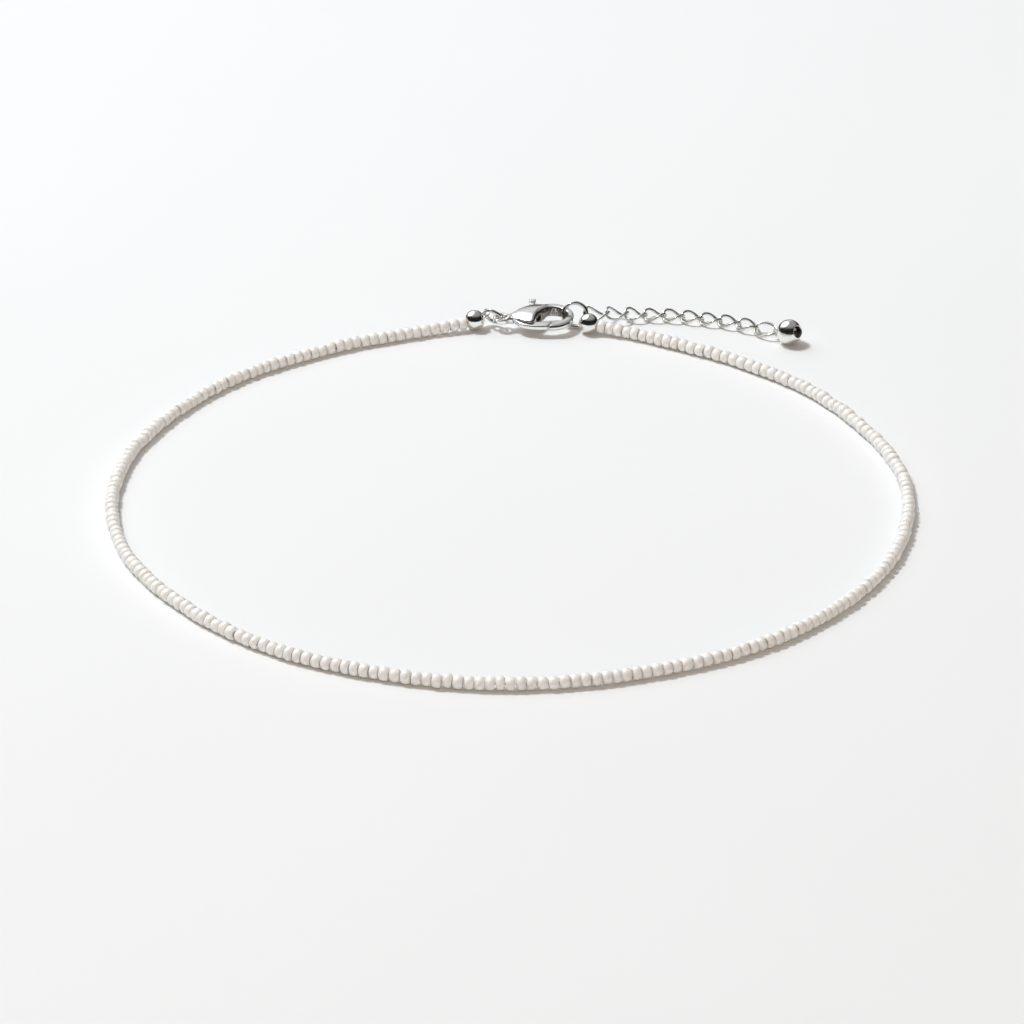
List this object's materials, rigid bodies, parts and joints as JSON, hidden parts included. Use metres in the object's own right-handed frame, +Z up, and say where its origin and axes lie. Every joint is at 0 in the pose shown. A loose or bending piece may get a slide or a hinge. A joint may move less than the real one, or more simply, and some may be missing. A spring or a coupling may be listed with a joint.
{
  "type": "beaded anklet",
  "caption": "Beaded anklet lying fastened: a round loop of small white glass beads closed by a silver lever clasp, with ball tips, jump rings and a short extension chain that ends in a ball.",
  "frame": {"origin": "on the table, under the middle of the whole anklet's bounding box", "axes": "+Z up from the table, +Y from the front of the loop to the clasp at its back, +X to the right, toward the extension chain"},
  "size_m": [0.088, 0.0914, 0.0031],
  "materials": {
    "white_glass": "opaque white glass with a soft lustre",
    "silver": "bright silver plate, polished"
  },
  "bodies": {
    "anklet": {"bead_strand_01": "white_glass", "bead_strand_02": "white_glass", "bead_strand_03": "white_glass", "bead_strand_04": "white_glass", "bead_strand_05": "white_glass", "bead_strand_06": "white_glass", "bead_strand_07": "white_glass", "bead_strand_08": "white_glass", "bead_strand_09": "white_glass", "bead_strand_10": "white_glass", "bead_strand_11": "white_glass", "bead_strand_12": "white_glass", "bead_strand_13": "white_glass", "bead_strand_14": "white_glass", "bead_strand_15": "white_glass", "bead_strand_16": "white_glass", "bead_strand_17": "white_glass", "bead_strand_18": "white_glass", "ball_tip_left": "silver", "ball_tip_right": "silver", "jump_ring_left": "silver", "jump_ring_right": "silver", "clasp_body": "silver", "clasp_pin": "silver", "extension_chain": "silver", "end_ball": "silver"},
    "lever": {"clasp_lever": "silver"}
  },
  "joints": [
    {"name": "clasp_lever_hinge", "type": "hinge", "parent": "anklet", "child": "lever", "pos_m": [0.00135, 0.04125, 0.00137], "axis": [-0.0041, -0.0871, 0.9962], "range_deg": [0, 25], "stiffness_Nm_per_rad": 0.00002, "springref_deg": -9.74}
  ]
}
